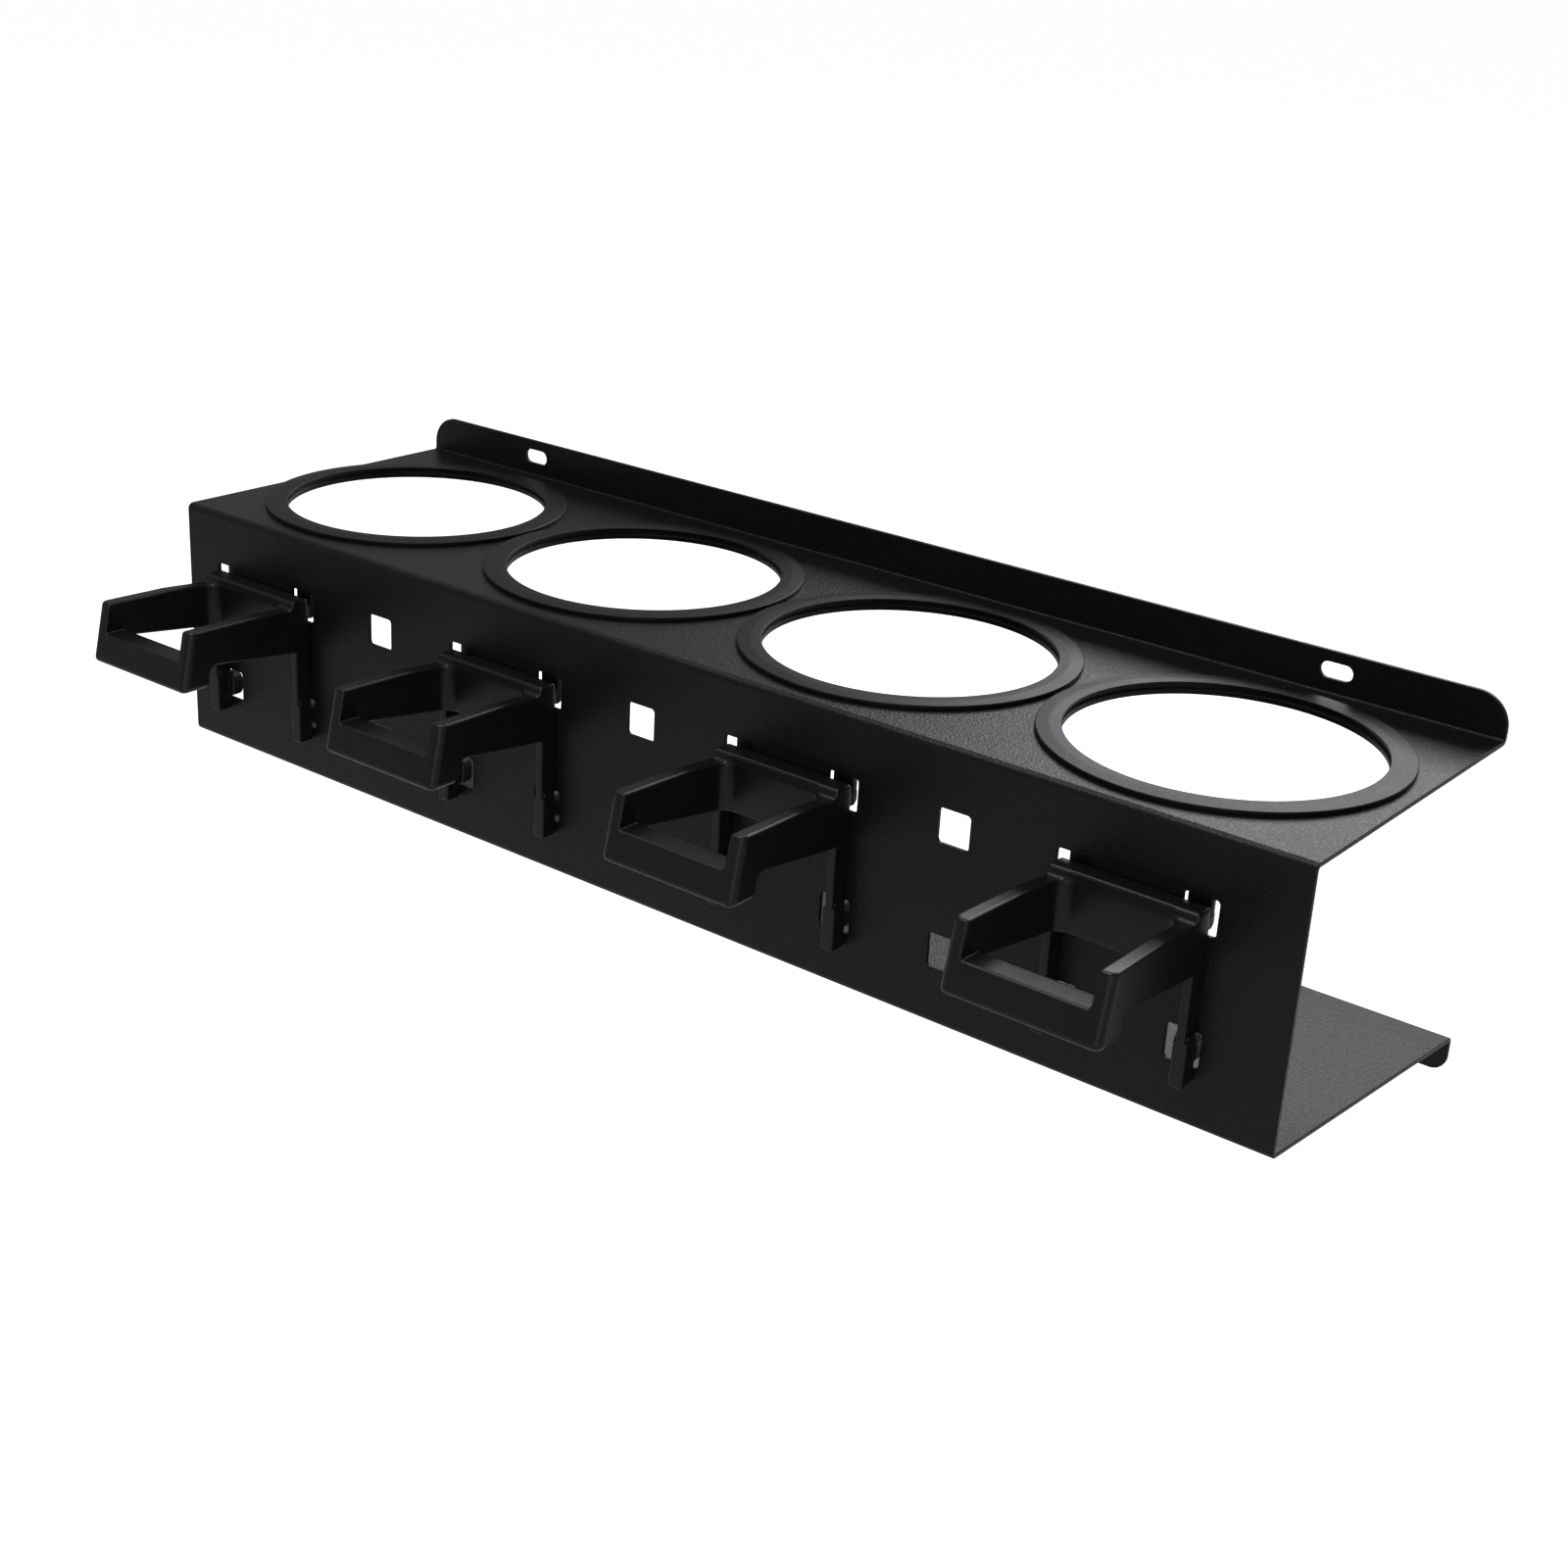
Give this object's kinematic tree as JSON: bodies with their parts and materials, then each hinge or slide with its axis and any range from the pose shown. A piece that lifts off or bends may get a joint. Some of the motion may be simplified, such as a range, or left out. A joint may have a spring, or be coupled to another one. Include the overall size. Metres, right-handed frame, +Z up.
{
  "type": "salon tool rack",
  "caption": "Wall-mounted folded sheet-metal tool rack with ring-lined round openings in its shelf and clip-on cradle holders on a grid of square holes.",
  "frame": {"origin": "on the wall plane, halfway between the two screw slots of the upper flange", "axes": "+X along the rack to the right as seen from the room, -Y off the wall into the room, +Z up"},
  "size_m": [0.43, 0.1742, 0.1197],
  "materials": {
    "powder_coated_steel": "fine-textured matt black powder coat on folded steel sheet",
    "ring_plastic": "satin black moulded plastic",
    "holder_plastic": "semi-gloss black moulded plastic with a fine grain on its upper edges"
  },
  "bodies": {
    "root": {"folded_sheet": "powder_coated_steel", "ring_1": "ring_plastic", "ring_2": "ring_plastic", "ring_3": "ring_plastic", "ring_4": "ring_plastic"},
    "holder_1": {"holder_1": "holder_plastic"},
    "holder_2": {"holder_2": "holder_plastic"},
    "holder_3": {"holder_3": "holder_plastic"},
    "holder_4": {"holder_4": "holder_plastic"}
  },
  "joints": [
    {"name": "holder_1_tilt", "type": "hinge", "parent": "root", "child": "holder_1", "pos_m": [-0.1755, -0.1203, -0.027], "axis": [-1, 0, 0], "range_deg": [0, 18]},
    {"name": "holder_2_tilt", "type": "hinge", "parent": "root", "child": "holder_2", "pos_m": [-0.0615, -0.1203, -0.027], "axis": [-1, 0, 0], "range_deg": [0, 18]},
    {"name": "holder_3_tilt", "type": "hinge", "parent": "root", "child": "holder_3", "pos_m": [0.0525, -0.1203, -0.027], "axis": [-1, 0, 0], "range_deg": [0, 18]},
    {"name": "holder_4_tilt", "type": "hinge", "parent": "root", "child": "holder_4", "pos_m": [0.1665, -0.1203, -0.027], "axis": [-1, 0, 0], "range_deg": [0, 18]}
  ]
}
